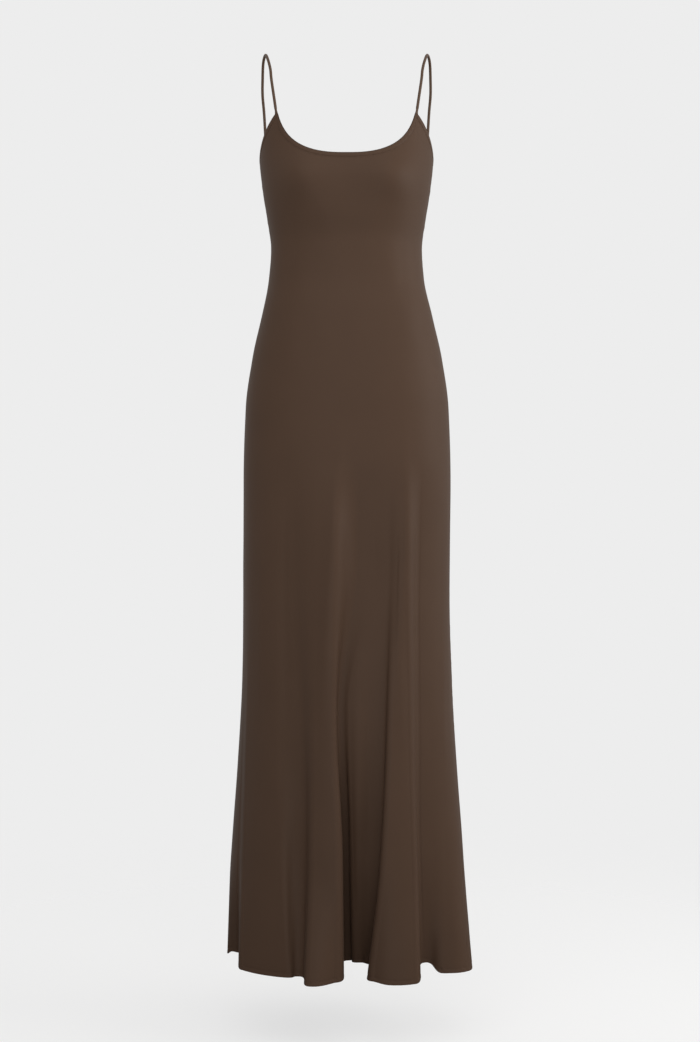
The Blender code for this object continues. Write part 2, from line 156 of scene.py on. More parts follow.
# each fold: its angle at seat, knee, calf and hem, its rise in mm at thigh, knee, calf and hem,
# and how far it drops at the hem in mm
skirt = {
    "heights": [-0.650, -0.800, -1.030, -1.270, -1.440],
    "dropBegins": -1.100,
    "bendRadius": 0.022,
    "front": [
        ((-90, -91, -94, -97), (0, 0, -2, -10), 0),  # right side seam
        ((-76, -72, -67, -66), (0, 0, -1, -34), -10),
        ((-62, -62, -58, -57), (0, 1, 5, 22), -1),
        ((-44, -40, -33, -28.5), (0, 1, 8, 20), 1),
        ((-30, -26, -22.5, -23), (-2, -3, -3, 8), 1),
        ((-16, -15.5, -15, -17), (9, 11, 16, 38), 7),  # centre flute
        ((-7.5, -8.6, -5.6, -6.2), (13, 14, 17, 24), 4),
        ((6.5, -2.6, 0.2, 0.2), (-9, -9, -41, -70), -5),  # deep valley beside it
        ((14, 1.6, 3.6, 4.2), (-8, -6, -27, -48), -8),
        ((21, 18.2, 14.2, 9.2), (-4, -3, -21, -54), -3),
        ((26, 23.8, 18.6, 11.6), (0, 9, 15, 15), 5),
        ((29, 28, 25.5, 21), (3, 9, 16, 27), 9),  # left flute
        ((31.5, 32, 32, 31), (5, 8, 15, 32), 8),
        ((40, 40, 38, 38), (-9, -8, -7, -12), -11),
        ((56, 58, 54, 49), (-7, -4, 1, 9), 4),
        ((90, 86, 76, 73.5), (0, 0, 14, 38), 4),  # left side seam
    ],
    "back": [
        ((100, 99, 94, 90), (0, 0, 6, 46), 4),
        ((116, 116, 118, 118), (0, 3, 22, 10), -4),
        ((127, 127, 129, 129), (0, -3, -12, -30), 4),
        ((137, 138, 139, 140), (0, -4, -18, -38), 3),
        ((150, 150, 152, 153), (1, 4, 22, 38), -3),
        ((161, 162, 163, 163), (-1, -5, -19, -42), 5),
        ((173, 173, 174, 173), (-2, -5, -16, -34), 4),
        ((189, 189, 188, 187), (1, 7, 32, 56), -2),
        ((205, 204, 202, 200), (-1, -3, -13, -30), 3),
        ((216, 216, 215, 214), (-1, -5, -18, -42), 5),
        ((234, 233, 230, 228), (0, 3, 14, 26), -3),
        ((250, 249, 246, 243), (0, -1, -6, -16), 1),
    ],
}


def foldRing(height):  # angle, rise and hem drop of each fold line at a height
    places = [-level for level in skirt["heights"]]
    rows = skirt["front"] + skirt["back"]
    turns = [smooth(places, (turn[0],) + turn, -height) for turn, rise, drop in rows]
    rises = [smooth(places, (0,) + rise, -height) / 1000 for turn, rise, drop in rows]
    drops = [drop / 1000 for turn, rise, drop in rows]
    # all round and a little over
    turns = [turns[-1] - 360] + turns + [turns[0] + 360, turns[1] + 360]
    rises = rises[-1:] + rises + rises[:2]
    drops = drops[-1:] + drops + drops[:2]
    return np.array(turns), np.array(rises), np.array(drops)


def ringOfCloth(height, turn):  # the cloth at one height, folds and all
    section = figureAt(height)
    turns, rises, drops = foldRing(height)
    across, forward = figurePoint(turn, section)
    index = np.clip(np.searchsorted(turns, turn, side="right") - 1, 0, len(turns) - 2)
    share = (turn - turns[index]) / (turns[index + 1] - turns[index])
    width = figurePoint(turns[index + 1], section)[0] - figurePoint(turns[index], section)[0]
    climb = np.abs(rises[index + 1] - rises[index])
    facing = np.abs(np.cos(np.radians((turns[index] + turns[index + 1]) / 2)))
    # a smooth step this high needs this width to bend no tighter than its radius,
    # and where the fold is narrower the cloth rolls over sideways
    needed = np.sqrt(6 * skirt["bendRadius"] * climb)
    roll = np.maximum(0, needed - np.abs(width)) * facing
    across = across + np.copysign(roll, width) * share * (1 - share) * (1 - 2 * share)
    forward = forward - smooth(turns, rises, turn) - bustRise(across, turn, height)
    fall = smooth(turns, drops, turn) * ease(skirt["dropBegins"], skirt["heights"][-1], height)
    return np.stack([across, forward, height - fall], -1)


def smoothCloth(height, turn):  # above the folds, each point at its own height
    across, forward = figurePoint(turn, figureAt(height))
    forward = forward - bustRise(across, turn, height)
    return np.stack([across, forward, np.asarray(height, float)], -1)


# the scooped neck, the lower back edge and the armholes between their peaks
edges = {
    "level": -0.130,  # where widths of the top edge are taken
    "peakHeight": -0.1058,
    "peakInner": 0.1078,
    "peakOuter": 0.1110,
    "scoopHalf": 0.1138,
    "scoopStart": -0.0360,
    "scoopDepth": 0.1402,
    "scoopPower": 2.8,
    "backPeakHeight": -0.1460,
    "backPeakOuter": 112.0,
    "backPeakInner": 115.5,
    "backDepth": 0.052,
    "backPower": 2.2,
    "armhole": [  # angle and height
        (60.0, -0.1246),
        (65.0, -0.1342),
        (70.0, -0.1432),
        (76.0, -0.1528),
        (82.0, -0.1612),
        (90.0, -0.1685),
        (96.0, -0.1706),
        (100.5, -0.1700),
        (104.5, -0.1656),
        (108.5, -0.1578),
    ],
    "band": 0.005,  # depth of the bound edge
    "longestLeg": 0.012,  # and its most, straight down, where the edge is steep
}


def turnAt(across, height):  # angle where the figure is this far from the middle
    section = figureAt(height)
    turns = np.linspace(0, 90, 4001)  # steps far smaller than a stitch
    return float(np.interp(across, figurePoint(turns, section)[0] - section[4], turns))


def armholeHeight(turn):
    rows = [(turnAt(edges["peakOuter"], edges["level"]), edges["peakHeight"])] + edges["armhole"]
    rows.append((edges["backPeakOuter"], edges["backPeakHeight"]))
    return smooth([row[0] for row in rows], [row[1] for row in rows], turn)


def frontTop(turn):
    across = np.abs(figurePoint(turn, figureAt(edges["level"]))[0])
    share = np.minimum(1, across / edges["scoopHalf"]) ** edges["scoopPower"]
    scoop = edges["scoopStart"] - edges["scoopDepth"] * (1 - share) ** (1 / edges["scoopPower"])
    peak = across <= edges["peakOuter"] + tiny
    outer = np.where(peak, edges["peakHeight"], armholeHeight(np.abs(turn)))
    return np.where(across <= edges["peakInner"] + tiny, scoop, outer)


def backTop(turn):
    turn = np.where(turn <= 180, turn, 360 - turn)
    share = np.clip((180 - turn) / (180 - edges["backPeakInner"]), 0, 1)
    scoop = edges["backPeakHeight"] - edges["backDepth"] * np.sqrt(1 - share ** edges["backPower"])
    outer = np.where(turn <= edges["backPeakOuter"], armholeHeight(turn), edges["backPeakHeight"])
    return np.where(turn < edges["backPeakInner"], outer, scoop)


def topTurns(start, outer, inner, middle, counts):  # angles along a top edge, from seam to seam
    side, peak = counts
    centre, end = start + 90, start + 180
    return np.concatenate(
        [
            [start],
            spread(start, centre - outer, side),
            spread(centre - outer, centre - inner, peak),
            middle,
            spread(centre + inner, centre + outer, peak),
            spread(centre + outer, end, side),
        ]
    )


def frontTopTurns(side, peak, scoop):
    outer, inner = (turnAt(edges[name], edges["level"]) for name in ("peakOuter", "peakInner"))
    reach = math.asin(edges["peakInner"] / edges["scoopHalf"])
    across = edges["scoopHalf"] * np.sin(reach * (2 * spread(0, 1, scoop) - 1))
    middle = [math.copysign(turnAt(abs(x), edges["level"]), x) for x in across]
    return topTurns(-90, outer, inner, middle, (side, peak))


def backTopTurns(side, peak, scoop):
    outer, inner = 180 - edges["backPeakOuter"], 180 - edges["backPeakInner"]
    middle = 180 + inner * np.sin(np.radians(90 * (2 * spread(0, 1, scoop) - 1)))
    return topTurns(90, outer, inner, middle, (side, peak))


# soft troughs and ridges: angle at top and bottom, top and bottom height, half width and rise in mm
creases = {
    "front": [
        (-47, -50, -0.760, -1.060, 9, 0.9),
        (-24, -19, -0.640, -1.120, 8, 0.8),
        (-33, -30, -0.700, -1.180, 7, -0.8),
        (6, 4.6, -0.930, -1.560, 8, 3.2),
        (-2, -14, -0.580, -1.080, 11, 2.8),
        (27, 28, -0.680, -1.120, 9, 1.5),
        (12, 11, -0.900, -1.300, 8, -1.2),
        (-32, -34, -0.600, -1.250, 5, -1.1),
        (-27, -28, -1.150, -1.500, 5, -1.4),
        (30, 33, -0.560, -0.980, 11, 0.9),
        (22, 22, -0.640, -0.860, 9, -0.8),
        (60, 58, -0.820, -1.200, 9, 0.7),
        (-64, -61, -0.900, -1.200, 8, 0.7),
        (-41, -44, -0.255, -0.420, 14, -0.5),
        (44, 39, -0.270, -0.430, 13, -0.5),
        (-20, -9, -0.225, -0.330, 13, 0.4),
        (24, 12, -0.230, -0.350, 14, 0.4),
    ],
    "back": [
        (131, 127, -0.600, -0.980, 10, 0.9),
        (146, 149, -0.640, -1.060, 9, -0.8),
        (170, 166, -0.620, -0.940, 11, 0.9),
        (193, 196, -0.600, -1.020, 10, 0.9),
        (212, 208, -0.690, -1.110, 9, -0.7),
        (236, 238, -0.640, -1.000, 10, 0.8),
        (157, 164, -0.330, -0.440, 15, -0.6),
        (203, 197, -0.320, -0.450, 16, -0.6),
        (141, 150, -0.240, -0.330, 13, 0.4),
        (219, 209, -0.230, -0.320, 12, 0.4),
    ],
    "taper": 1.3,  # how sharply a crease runs out at its ends
}

# how far the cloth strays from smooth, in metres: a ripple is its lengths and where each starts,
# "at" is how far in from an edge and how wide
stray = {
    "slowAcross": ((0.071, 0.113, 0.049), (0.3, 2.1, 4.4)),
    "slowUp": ((0.31, 0.17, 0.23), (1.2, 3.3, 0.6)),
    "slowLean": (0.35, -0.2),
    "slowRise": 0.0004,
    "slowFrom": (-0.20, -0.40),
    "puckerStrength": ((0.083, 0.037), (0.5, 2.6)),
    "puckerShare": 0.45,  # how much of it comes and goes
    "puckerRipple": ((0.0117, 0.0091, 0.0149), (0.2, 1.7, 3.9)),
    "puckerLean": 0.25,
    "puckerRise": 0.00042,
    "puckerAt": (0.0068, 0.0048),
    "pullRipple": ((0.0061, 0.0043), (0.4, 1.9)),
    "pullShare": 0.2,
    "pullDip": 0.00028,
    "pullAt": (0.0066, 0.0012),
    "ropeRipple": ((0.0137, 0.0103, 0.0211), (1.1, 0.2, 2.4)),
    "ropeLean": 0.9,
    "ropeRise": 0.00030,
    "ropeAt": (0.0040, 0.0055),
    "seamTug": ((0.0173, 0.0241, 0.0127), (0.1, 1.3, 2.9)),
    "tugShare": 0.25,
    "seamDip": 0.0005,
    "seamAt": (0, 0.0016),
    "seamRipple": ((0.019, 0.027, 0.0143), (0.7, 2.2, 4.1)),
    "seamLean": 0.5,
    "seamRise": 0.00022,
    "seamRippleAt": (0.004, 0.004),
}


def relief(grid, angles, side):  # how far each point stands out of the smooth cloth
    height = grid[..., 2]
    radius = figureAt(height)[0]
    out = np.zeros(height.shape)
    for top, bottom, high, low, wide, rise in creases[side]:
        share = np.clip((height - low) / (high - low), 0, 1)
        middle = bottom + (top - bottom) * share
        away = np.radians(angles - middle) * radius * 1000
        out += rise / 1000 * np.sin(np.pi * share) ** creases["taper"] * hump(away, 0, wide)
    across, up = along(grid, 0), along(grid, 1)
    # slow unevenness of a soft cloth on the bias
    leanUp, leanAcross = stray["slowLean"]
    slow = wave(across + leanUp * up, stray["slowAcross"])
    slow = slow * wave(up + leanAcross * across, stray["slowUp"])
    out += stray["slowRise"] * slow * ease(*stray["slowFrom"], height)
    # small puckers where an edge is bound and stitched
    below = up[:, -1:] - up
    edge = across[:, -1:]
    strength = uneven(edge, stray["puckerStrength"], stray["puckerShare"])
    pucker = wave(edge + stray["puckerLean"] * below, stray["puckerRipple"])
    out += stray["puckerRise"] * strength * pucker * hump(below, *stray["puckerAt"])
    # the turned hem: a line of stitches drawn in, small slanted puckers under it
    foot = across[:, :1]
    pull = uneven(foot, stray["pullRipple"], stray["pullShare"])
    out -= stray["pullDip"] * pull * hump(up, *stray["pullAt"])
    rope = wave(foot + stray["ropeLean"] * up, stray["ropeRipple"])
    out += stray["ropeRise"] * rope * hump(up, *stray["ropeAt"])
    # the side seams: a shallow channel, lightly puckered
    for inward in (across, across[-1:] - across):
        tug = uneven(up, stray["seamTug"], stray["tugShare"])
        out -= stray["seamDip"] * tug * hump(inward, *stray["seamAt"])
        ripple = wave(up + stray["seamLean"] * inward, stray["seamRipple"])
        out += stray["seamRise"] * ripple * hump(inward, *stray["seamRippleAt"])
    return out


# the cloth of both panels, and its grid of rows and columns
panels = {
    "outside": 0.00070,  # outer and inner face, out from the middle line
    "inside": 0.00015,
    "hemTurn": 0.008,
    "hemThick": 0.0008,
    "hemFade": 0.0015,
    "hemRows": (0, 0.0015, 0.003, 0.0045, 0.0055, 0.0065, 0.008, 0.0095, 0.0115, 0.0145, 0.019),
    "rowStep": 0.0072,
    "yoke": 1.18,  # how far the folded rows reach above the hem
    "lean": (-0.72, -0.30),  # where the columns lean over from the folds to the top edge
    "topRows": 17,
    "bandRows": (2.4, 2.0, 1.6, 1.3, 1.0, 0.66, 0.33, 0.0),  # below the top edge, in bound edges
    "refine": 5,
    "frontColumns": (3, 4, 3, 2, 3, 2, 4, 2, 2, 3, 2, 2, 4, 3, 3),  # from fold to fold
    "backColumns": (2, 3, 4, 2, 4, 4, 2, 4, 4, 2, 4, 3, 3),
    "frontSide": 8,  # columns from side seam to peak
    "backSide": 5,
    "seamGap": 0.00010,
}


def panelGrid(first, steps, turnsOnTop, topHeight):
    # columns follow the folds in the skirt and spread along the top edge in the bodice
    line, between = [first], [0.0]
    for index, count in enumerate(steps):
        line += [first + index] * count
        between += list((1 - np.cos(np.pi * spread(0, 1, count))) / 2)
    line, between = np.array(line), np.array(between)
    rows, angles = [], []

    def addRow(height, foldsAt, cloth):
        turns = foldRing(foldsAt)[0]
        folded = turns[line + 1] + between * (turns[line + 2] - turns[line + 1])
        angles.append(folded + (turnsOnTop - folded) * ease(*panels["lean"], height))
        rows.append(cloth(height, angles[-1]))

    hemRows, yoke = panels["hemRows"], panels["yoke"]
    plain = math.ceil((yoke - hemRows[-1]) / panels["rowStep"])
    heights = skirt["heights"][-1] + np.concatenate([hemRows, spread(hemRows[-1], yoke, plain)])
    for height in heights:
        addRow(height, height, ringOfCloth)
    top = topHeight(turnsOnTop)
    left, right = turnsOnTop - 1, turnsOnTop + 1  # how steep the edge is, from a degree either side
    step = np.linalg.norm(smoothCloth(top, right) - smoothCloth(top, left), axis=-1)
    steep = np.abs(topHeight(right) - topHeight(left)) / step
    leg = np.minimum(edges["longestLeg"], edges["band"] * np.hypot(1, steep))
    begin, *bandRows = panels["bandRows"]
    climb = top - begin * leg - heights[-1]
    bodice = [heights[-1] + climb * share for share in spread(0, 1, panels["topRows"])]
    for height in bodice + [top - leg * below for below in bandRows]:
        addRow(height, panels["lean"][1], smoothCloth)
    return np.stack(rows, 1), np.stack(angles, 1)


def newPiece(name, points, faces, cut):
    mesh = bpy.data.meshes.new(name)
    mesh.from_pydata(points.tolist(), [], faces)
    mesh.update()
    mesh.shade_smooth()
    mesh.set_sharp_from_angle(angle=math.radians(sharpFrom))
    corners = np.empty(len(mesh.loops), int)
    mesh.loops.foreach_get("vertex_index", corners)
    places = cut.astype(np.float32)[corners].ravel()
    mesh.uv_layers.new(name="cut").uv.foreach_set("vector", places)
    piece = bpy.data.objects.new(name, mesh)
    bpy.context.scene.collection.objects.link(piece)
    return piece


def dressSheet(name, grid, out):
    # thin shell of cloth: outer face, inner face and a rim, thicker inside at the turned hem
    across, up = along(grid, 0), along(grid, 1)
    turn = panels["hemTurn"]
    turned = panels["hemThick"] * (1 - ease(turn - panels["hemFade"], turn, up))
    outer = grid + out * panels["outside"]
    inner = grid + out * (panels["inside"] - turned[..., None])
    columns, rows = grid.shape[:2]
    number = np.arange(columns * rows).reshape(columns, rows)
    a, b, c, d = number[:-1, :-1], number[1:, :-1], number[1:, 1:], number[:-1, 1:]
    size = columns * rows
    faces = [np.stack([a, b, c, d], -1).reshape(-1, 4)]
    faces.append(np.stack([a, d, c, b], -1).reshape(-1, 4) + size)
    rim = np.concatenate([number[:, 0], number[-1, 1:], number[-2::-1, -1], number[0, -2:0:-1]])
    after = np.roll(rim, -1)
    faces.append(np.stack([rim, rim + size, after + size, after], -1))
    points = np.concatenate([outer.reshape(-1, 3), inner.reshape(-1, 3)])
    middle = across - across[columns // 2]
    cut = np.stack([middle, up], -1).reshape(-1, 2)
    return newPiece(name, points, np.concatenate(faces).tolist(), np.concatenate([cut, cut]))


def drawInSeams(grid, out):  # a hair of room between the two panels
    for edge, inner in ((0, 1), (-1, -2)):
        side = unit(np.cross(out[edge], np.gradient(grid[edge], axis=0)))
        way = np.sign(np.sum(side * (grid[inner] - grid[edge]), -1, keepdims=True))
        grid[edge] += side * way * panels["seamGap"] / 2
    return grid


def makePanel(side, first, turnsFor, topHeight):
    fine = panels["refine"]
    steps = [count * fine for count in panels[side + "Columns"]]
    sideColumns = panels[side + "Side"] * fine
    scoopColumns = sum(steps) - 2 * (sideColumns + fine)
    grid, angles = panelGrid(first, steps, turnsFor(sideColumns, fine, scoopColumns), topHeight)
    grid = grid + outward(grid) * relief(grid, angles, side)[..., None]
    grid = drawInSeams(grid, outward(grid))
    out = outward(grid)
    print(side, "panel", grid.shape, "hem", round(float(along(grid, 0)[-1, 0]), 3), "m")
    return dressSheet(side + "Panel", grid, out), grid, out


frontPanel, frontGrid, frontOut = makePanel("front", 0, frontTopTurns, frontTop)
backPanel, backGrid, backOut = makePanel("back", len(skirt["front"]) - 1, backTopTurns, backTop)

binding = {
    "thick": 0.00035,
    "over": 0.00105,  # how far it stands past the cloth's edge
    "clear": 0.00006,  # off the cloth's faces
    "edgeClear": 0.00008,  # off the cloth's edge
    "footLift": 0.00012,
    "footThick": 0.6,  # the next three in thicknesses
    "topThick": 0.92,
    "cornerThick": 0.45,
    "cornerOver": 0.62,  # share of how far it stands past the edge
    "footRow": -5,
    "middleRow": -3,
    "swell": 0.30,
    "ripple": ((0.0093, 0.0127, 0.0167), (0.4, 1.5, 3.1)),
    "roll": (5, 6, 7, 8),  # the faces that turn over the edge; they take the darker finish, painted shade along the fold
}


def skinFaces(count, size, start=0):  # round a row of rings, with a cap at either end
    number = start + np.arange(count * size).reshape(count, size)
    beside = np.roll(number, -1, axis=1)
    sides = np.stack([number[:-1], beside[:-1], beside[1:], number[1:]], -1).reshape(-1, 4)
    return sides.tolist() + [number[0][::-1].tolist(), number[-1].tolist()]


def sweep(name, rings, cut, roll=()):  # closed skin over rings of points
    count, size = rings.shape[:2]
    piece = newPiece(name, rings.reshape(-1, 3), skinFaces(count, size), cut.reshape(-1, 2))
    # the faces in roll take the second, darker finish: painted shade along the fold of the edge
    finish = [int(k in roll) for k in range(size)] * (count - 1) + [0, 0]
    piece.data.polygons.foreach_set("material_index", finish)
    return piece


def makeBinding(name, columns, out):
    # folded strip: up the outside, over the edge, down the inside
    rows = (binding["footRow"], binding["middleRow"], -1)
    foot, middle, top = (columns[:, row] for row in rows)
    footOut, middleOut, topOut = (out[:, row] for row in rows)
    beyond = unit(np.cross(topOut, np.gradient(top, axis=0)))
    walked = along(top[:, None], 0)[:, 0]
    thick, over, lift = binding["thick"], binding["over"], binding["footLift"]
    swollen = thick * (1 + binding["swell"] * wave(walked, binding["ripple"]))
    outside, inside = panels["outside"] + binding["clear"], panels["inside"] - binding["clear"]
    footThick, topThick = binding["footThick"] * thick, binding["topThick"] * thick
    corner, cornerOver = binding["cornerThick"] * thick, binding["cornerOver"] * over
    profile = [
        (foot, footOut, outside, 0),
        (foot, footOut, outside + footThick, lift),
        (middle, middleOut, outside + swollen, 0),
        (top, topOut, outside + topThick, 0),
        (top, topOut, outside + corner, cornerOver),
        (top, topOut, (outside + inside) / 2, over),
        (top, topOut, inside - corner, cornerOver),
        (top, topOut, inside - topThick, 0),
        (middle, middleOut, inside - swollen, 0),
        (foot, footOut, inside - footThick, lift),
        (foot, footOut, inside, 0),
        (top, topOut, inside, binding["edgeClear"]),
        (top, topOut, outside, binding["edgeClear"]),
    ]
    rings = []
    for base, direction, away, up in profile:
        away = np.broadcast_to(away, len(base))[:, None]
        rings.append(base + direction * away + beyond * up)
    rings = np.stack(rings, 1)[:, ::-1]
    around = along(rings, 1)
    cut = np.stack([np.broadcast_to(walked[:, None], around.shape), around], -1)
    return sweep(name, rings, cut, binding["roll"])


def peakColumn(side):  # the middle of a peak, counted in from the side seam
    return panels[side + "Side"] * panels["refine"] + panels["refine"] // 2


def armholeRun(before, beforePeak, after, afterPeak):  # from a peak over the seam to the next
    return np.concatenate([before[-beforePeak - 1 : -1], after[: afterPeak + 1]])


frontPeak, backPeak = peakColumn("front"), peakColumn("back")
neckBindingFront = makeBinding(
    "neckBindingFront", frontGrid[frontPeak:-frontPeak], frontOut[frontPeak:-frontPeak]
)
neckBindingBack = makeBinding(
    "neckBindingBack", backGrid[backPeak:-backPeak], backOut[backPeak:-backPeak]
)
armholeBindingLeft = makeBinding(
    "armholeBindingLeft",
    armholeRun(frontGrid, frontPeak, backGrid, backPeak),
    armholeRun(frontOut, frontPeak, backOut, backPeak),
)
armholeBindingRight = makeBinding(
    "armholeBindingRight",
    armholeRun(backGrid, backPeak, frontGrid, frontPeak),
    armholeRun(backOut, backPeak, frontOut, frontPeak),
)
bindings = [neckBindingFront, neckBindingBack, armholeBindingLeft, armholeBindingRight]
print("bindings made")

strap = {
    "radius": 0.00225,
    "sides": 16,
    "steps": 16,
    "flatten": 0.42,  # thickness left at the sewn ends
    "widen": 1.25,
    "taper": 0.010,
    "footInset": 0.0004,
    "ripple": ((0.0071, 0.0113, 0.0163), (0.2, 1.9, 3.4)),
    "rippleRise": 0.004,
    "seamTurn": 2.6,  # where round the strap its own seam starts
    "seamTwist": 9,
    "seamWidth": 0.28,
    "seamDip": 0.02,
    "route": [  # the left strap between its sewn ends
        (0.1130, -0.0525, -0.0825),
        (0.1180, -0.0450, -0.0485),
        (0.1200, -0.0375, -0.0305),
        (0.1245, -0.0236, -0.0115),
        (0.1296, 0.0000, 0.0022),
        (0.1340, 0.0150, -0.0065),
        (0.1357, 0.0275, -0.0300),
        (0.1361, 0.0350, -0.0535),
        (0.1337, 0.0400, -0.0845),
    ],
}


def makeStrap(name, side, frontFoot, frontFace, backFoot, backFace):
    loop = [np.array((side * x, y, z)) for x, y, z in strap["route"]]
    route = np.array([frontFoot] + loop + [backFoot])
    pulls = np.gradient(route, axis=0)
    pulls[0] = (route[1] - route[0]) / 2
    pulls[-1] = (route[-1] - route[-2]) / 2
    share = spread(0, 1, strap["steps"])[:, None]
    centres = [route[:1]]
    for index in range(len(route) - 1):
        centres.append(bend(route[index], route[index + 1], pulls[index], pulls[index + 1], share))
    centres = np.concatenate(centres)
    walked = along(centres[:, None], 0)[:, 0]
    ahead = unit(np.gradient(centres, axis=0))
    # near each sewn end the round strap flattens against the cloth and widens a little
    nearFront = 1 - ease(0, strap["taper"], walked)
    nearBack = 1 - ease(0, strap["taper"], walked[-1] - walked)
    face = np.outer(nearFront, frontFace) + np.outer(nearBack, backFace)
    face = face + np.outer(1 - nearFront - nearBack, (side, 0, 0)) + tiny
    face = unit(face - ahead * np.sum(face * ahead, -1, keepdims=True))
    beside = np.cross(ahead, face)
    near = nearFront + nearBack
    ripple = 1 + strap["rippleRise"] * wave(walked, strap["ripple"])
    deep = strap["radius"] * ripple * (1 - (1 - strap["flatten"]) * near)
    wide = strap["radius"] * ripple * (1 + (strap["widen"] - 1) * near)
    angle = 2 * np.pi * np.arange(strap["sides"]) / strap["sides"]
    # a narrow dent along the strap where its own seam runs, turning slowly round it
    fromSeam = angle - strap["seamTurn"] - strap["seamTwist"] * walked[:, None]
    fromSeam = np.angle(np.exp(1j * fromSeam))
    dent = 1 - strap["seamDip"] * hump(fromSeam, 0, strap["seamWidth"])
    rings = centres[:, None] + face[:, None] * (np.cos(angle) * dent * deep[:, None])[..., None]
    rings = rings + beside[:, None] * (np.sin(angle) * dent * wide[:, None])[..., None]
    cut = np.stack(np.broadcast_arrays(walked[:, None], angle * strap["radius"]), -1)
    return sweep(name, rings, cut)


def peakFoot(grid, out, column):  # just inside the fold of the binding at a peak
    face, inset = out[column, -1], strap["footInset"]
    return grid[column, -1] + np.array((0, 0, inset)) + face * inset, face


strapLeft = makeStrap(
    "strapLeft",
    1,
    *peakFoot(frontGrid, frontOut, -frontPeak - 1),
    *peakFoot(backGrid, backOut, backPeak),
)
strapRight = makeStrap(
    "strapRight",
    -1,
    *peakFoot(frontGrid, frontOut, frontPeak),
    *peakFoot(backGrid, backOut, -backPeak - 1),
)
print("straps made")

stitch = {
    "pitch": 0.0030,
    "length": 0.0023,
    "radius": 0.00017,
    "flatten": 0.8,
    "sides": 6,
    "rings": [  # place along the stitch, thickness, how far it stands out of the cloth
        (-0.5, 0.35, -0.9),
        (-0.36, 0.9, 0.1),
        (0, 1, 0.35),
        (0.36, 0.9, 0.1),
        (0.5, 0.35, -0.9),
    ],
    "lookAhead": 0.0004,
    "hemRow": 5,
    "neckRow": -6,
    "hemEnds": 2,  # columns left bare at either end of a run
    "neckEnds": 3,
}


def walk(line, out):  # evenly spaced places along a line of points
    walked = along(line[:, None], 0)[:, 0]
    places = np.arange(stitch["pitch"] / 2, walked[-1], stitch["pitch"])

    def pick(values, past=0):
        return np.stack([np.interp(places + past, walked, values[:, k]) for k in range(3)], -1)

    points = pick(line)
    return points, unit(pick(out)), unit(pick(line, stitch["lookAhead"]) - points)


def makeStitches(name, runs):  # each stitch is a small thread end to end, sunk where it enters
    size, radius = stitch["sides"], stitch["radius"]
    angle = (2 * np.pi * np.arange(size) / size)[:, None]
    threads = []
    for line, out in runs:
        centre, face, ahead = walk(line, out)
        beside = np.cross(face, ahead)
        circle = face[:, None] * np.cos(angle) * stitch["flatten"] + beside[:, None] * np.sin(angle)
        rings = []
        for at, thick, sink in stitch["rings"]:
            ring = centre + ahead * at * stitch["length"] + face * sink * radius
            rings.append(ring[:, None] + circle * radius * thick)
        threads.append(np.stack(rings, 1))  # stitch, ring, corner, place
    threads = np.concatenate(threads)
    rings = threads.shape[1]
    faces = []
    for number in range(len(threads)):
        faces += skinFaces(rings, size, number * rings * size)
    points = threads.reshape(-1, 3)
    return newPiece(name, points, faces, points[:, [0, 2]])


def onCloth(grid, out, row, ends):  # a run of stitches on the outer face
    line, face = grid[ends:-ends, row], out[ends:-ends, row]
    return line + face * panels["outside"], face


def panelStitches(name, grid, out, peak):
    hem = onCloth(grid, out, stitch["hemRow"], stitch["hemEnds"])
    neck = onCloth(grid, out, stitch["neckRow"], peak + stitch["neckEnds"])
    return makeStitches(name, [hem, neck])


frontStitches = panelStitches("frontStitches", frontGrid, frontOut, frontPeak)
backStitches = panelStitches("backStitches", backGrid, backOut, backPeak)
stitches = [frontStitches, backStitches]
print("stitches made")


class Wire:  # a shader socket that can be used in sums
    def __init__(self, tree, socket=None):
        self.tree, self.socket = tree, socket

    def node(self, kind, settings={}, sockets={}, out=0):
        made = self.tree.nodes.new(kind)
        for name, value in settings.items():
            setattr(made, name, value)
        for name, value in sockets.items():
            if isinstance(value, Wire):
                self.tree.links.new(value.socket, made.inputs[name])
            else:
                made.inputs[name].default_value = value
        return Wire(self.tree, made.outputs[out])

    def feed(self, socket):
        self.tree.links.new(self.socket, socket)

    def maths(self, operation, first, second=0.0):
        return self.node("ShaderNodeMath", {"operation": operation}, {0: first, 1: second})

    def __add__(self, other):
        return self.maths("ADD", self, other)

    def __sub__(self, other):
        return self.maths("SUBTRACT", self, other)

    def __rsub__(self, other):
        return self.maths("SUBTRACT", other, self)

    def __mul__(self, other):
        return self.maths("MULTIPLY", self, other)

    __radd__, __rmul__ = __add__, __mul__

    def sine(self):
        return self.maths("SINE", self)

    def mix(self, low, high):  # a colour between two, by this value
        return self.node("ShaderNodeMix", {"data_type": "RGBA"}, {0: self, 6: low, 7: high}, 2)


satinLook = {
    "colour": (0.0745, 0.0438, 0.0287),
    "vary": 0.10,
    "rough": 0.50,
    "roughVary": 0.10,
    "thread": 0.00055,
    "slubAlong": 220.0,
    "slubAcross": 2200.0,
    "cloudScale": 14.0,
    "bump": 0.35,
    "depth": 0.00004,
    "sheen": 0.03,
    "sheenRough": 0.45,
    "sheenTint": (0.75, 0.55, 0.42, 1.0),
    "gloss": 0.10,
}
# a lighter copy of the satin for the straps: its lighter colour is painted light, as if lit from
# above; its roughness and gloss are its own
strapLitLook = {
    **satinLook,
    "colour": (0.086, 0.0510, 0.0325),
    "rough": 0.42,
    "thread": 0.0005,
    "bump": 0.2,
    "gloss": 0.2,
}
# the darker finish for the bindings' fold over the edge: painted shade, a dark line along every
# bound edge
rollShadeLook = {**satinLook, "colour": (0.042, 0.0245, 0.0158), "thread": 0.0005, "bump": 0.45}
threadLook = {
    **satinLook,
    "colour": (0.064, 0.0375, 0.0245),
    "vary": 0.15,
    "rough": 0.42,
    "thread": 0.0003,
    "slubAlong": 900.0,
}

